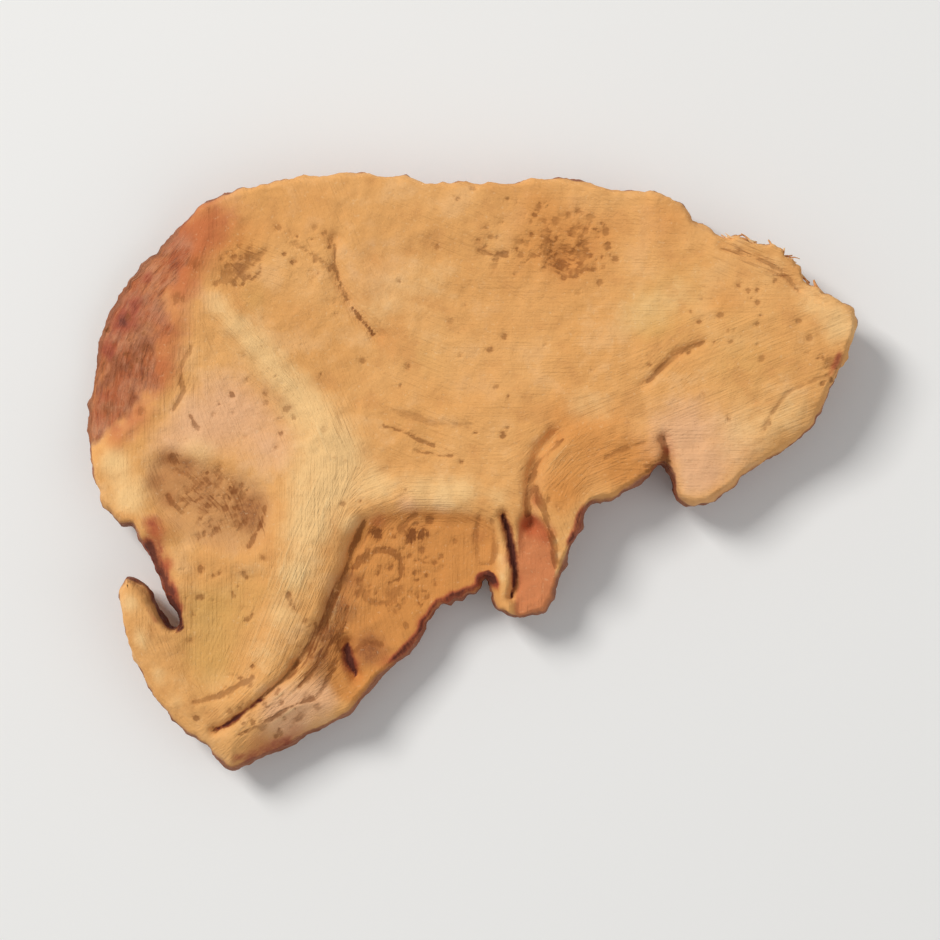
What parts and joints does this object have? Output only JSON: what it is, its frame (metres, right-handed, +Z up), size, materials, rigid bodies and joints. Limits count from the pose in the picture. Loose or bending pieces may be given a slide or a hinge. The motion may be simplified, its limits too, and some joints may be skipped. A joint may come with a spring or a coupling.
{
  "type": "dried galangal root slice",
  "caption": "Flat lobed slice of dried galangal root, cut lengthwise through a fork, with wrinkled reddish skin round its rim and fibrous cut faces.",
  "frame": {"origin": "centre of the bounding box, on the surface that the slice rests on", "axes": "+X along the length, towards the lobe with the rounded tip, +Y towards the long unbroken edge, +Z up out of the upper cut face"},
  "size_m": [0.0624, 0.0482, 0.0067],
  "materials": {
    "dried_root": "matt, fibrous"
  },
  "bodies": {
    "root": {"galangal_slice": "dried_root"}
  },
  "joints": []
}
